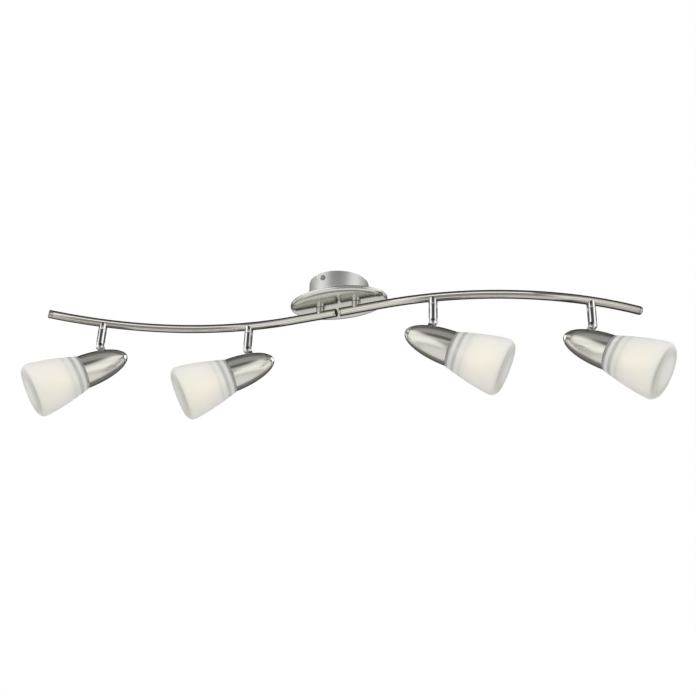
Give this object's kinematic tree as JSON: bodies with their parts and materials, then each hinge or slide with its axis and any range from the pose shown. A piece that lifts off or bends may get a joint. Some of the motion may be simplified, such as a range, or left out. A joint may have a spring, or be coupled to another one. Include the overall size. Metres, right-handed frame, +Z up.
{
  "type": "ceiling spotlight bar",
  "caption": "Ceiling light: an S-curved satin nickel bar under an oval plate and round canopy, with turning bullet heads and frosted glass shades.",
  "frame": {"origin": "middle of the canopy, on the ceiling plane", "axes": "+Z up into the ceiling, +X along the line through the bar's two ends, to the right as seen from the front, -Y towards the viewer in front"},
  "size_m": [0.8416, 0.148, 0.185],
  "materials": {
    "satin_nickel": "satin brushed nickel plate, warm grey",
    "chrome": "polished chrome plate",
    "zinc_steel": "zinc plated steel, dull",
    "nylon": "off-white nylon",
    "ceramic": "unglazed white ceramic",
    "frosted_glass": "satin frosted glass with clear rings near the neck",
    "bulb_glass": "clear bulb glass, lit warm white"
  },
  "bodies": {
    "bar": {"ceiling_bracket": "zinc_steel", "canopy_cup": "satin_nickel", "canopy_screw_front": "chrome", "canopy_screw_rear": "chrome", "cover_plate": "satin_nickel", "terminal_block": "nylon", "rod_left": "satin_nickel", "rod_end_cap_left": "satin_nickel", "rod_inner_plug_left": "satin_nickel", "post_left": "satin_nickel", "post_nut_left": "zinc_steel", "rod_right": "satin_nickel", "rod_end_cap_right": "satin_nickel", "rod_inner_plug_right": "satin_nickel", "post_right": "satin_nickel", "post_nut_right": "zinc_steel", "stem_collar_left_outer": "chrome", "stem_collar_left_inner": "chrome", "stem_collar_right_inner": "chrome", "stem_collar_right_outer": "chrome"},
    "stem_left_outer": {"stem_tube_left_outer": "chrome", "pivot_screw_left_outer": "chrome"},
    "head_left_outer": {"knuckle_left_outer": "chrome", "lamp_body_left_outer": "satin_nickel", "end_cap_left_outer": "chrome", "lamp_holder_left_outer": "ceramic", "shade_ring_left_outer": "zinc_steel", "glass_shade_left_outer": "frosted_glass", "glass_front_left_outer": "frosted_glass", "bulb_left_outer": "bulb_glass"},
    "stem_left_inner": {"stem_tube_left_inner": "chrome", "pivot_screw_left_inner": "chrome"},
    "head_left_inner": {"knuckle_left_inner": "chrome", "lamp_body_left_inner": "satin_nickel", "end_cap_left_inner": "chrome", "lamp_holder_left_inner": "ceramic", "shade_ring_left_inner": "zinc_steel", "glass_shade_left_inner": "frosted_glass", "glass_front_left_inner": "frosted_glass", "bulb_left_inner": "bulb_glass"},
    "stem_right_inner": {"stem_tube_right_inner": "chrome", "pivot_screw_right_inner": "chrome"},
    "head_right_inner": {"knuckle_right_inner": "chrome", "lamp_body_right_inner": "satin_nickel", "end_cap_right_inner": "chrome", "lamp_holder_right_inner": "ceramic", "shade_ring_right_inner": "zinc_steel", "glass_shade_right_inner": "frosted_glass", "glass_front_right_inner": "frosted_glass", "bulb_right_inner": "bulb_glass"},
    "stem_right_outer": {"stem_tube_right_outer": "chrome", "pivot_screw_right_outer": "chrome"},
    "head_right_outer": {"knuckle_right_outer": "chrome", "lamp_body_right_outer": "satin_nickel", "end_cap_right_outer": "chrome", "lamp_holder_right_outer": "ceramic", "shade_ring_right_outer": "zinc_steel", "glass_shade_right_outer": "frosted_glass", "glass_front_right_outer": "frosted_glass", "bulb_right_outer": "bulb_glass"}
  },
  "joints": [
    {"name": "pan_left_outer", "type": "hinge", "parent": "bar", "child": "stem_left_outer", "pos_m": [-0.32742, 0.02798, -0.057], "axis": [0, 0, 1], "range_deg": [-120, 120]},
    {"name": "tilt_left_outer", "type": "hinge", "parent": "stem_left_outer", "child": "head_left_outer", "pos_m": [-0.32742, 0.02798, -0.077], "axis": [0.342, -0.9397, 0], "range_deg": [-37, 48]},
    {"name": "pan_left_inner", "type": "hinge", "parent": "bar", "child": "stem_left_inner", "pos_m": [-0.12575, 0.03954, -0.057], "axis": [0, 0, 1], "range_deg": [-120, 120]},
    {"name": "tilt_left_inner", "type": "hinge", "parent": "stem_left_inner", "child": "head_left_inner", "pos_m": [-0.12575, 0.03954, -0.077], "axis": [0.1908, -0.9816, 0], "range_deg": [-33, 52]},
    {"name": "pan_right_inner", "type": "hinge", "parent": "bar", "child": "stem_right_inner", "pos_m": [0.12575, -0.03954, -0.057], "axis": [0, 0, 1], "range_deg": [-120, 120]},
    {"name": "tilt_right_inner", "type": "hinge", "parent": "stem_right_inner", "child": "head_right_inner", "pos_m": [0.12575, -0.03954, -0.077], "axis": [0.0523, 0.9986, 0], "range_deg": [-29, 56]},
    {"name": "pan_right_outer", "type": "hinge", "parent": "bar", "child": "stem_right_outer", "pos_m": [0.32742, -0.02798, -0.057], "axis": [0, 0, 1], "range_deg": [-120, 120]},
    {"name": "tilt_right_outer", "type": "hinge", "parent": "stem_right_outer", "child": "head_right_outer", "pos_m": [0.32742, -0.02798, -0.077], "axis": [0.3256, 0.9455, 0], "range_deg": [-35.5, 49.5]}
  ]
}
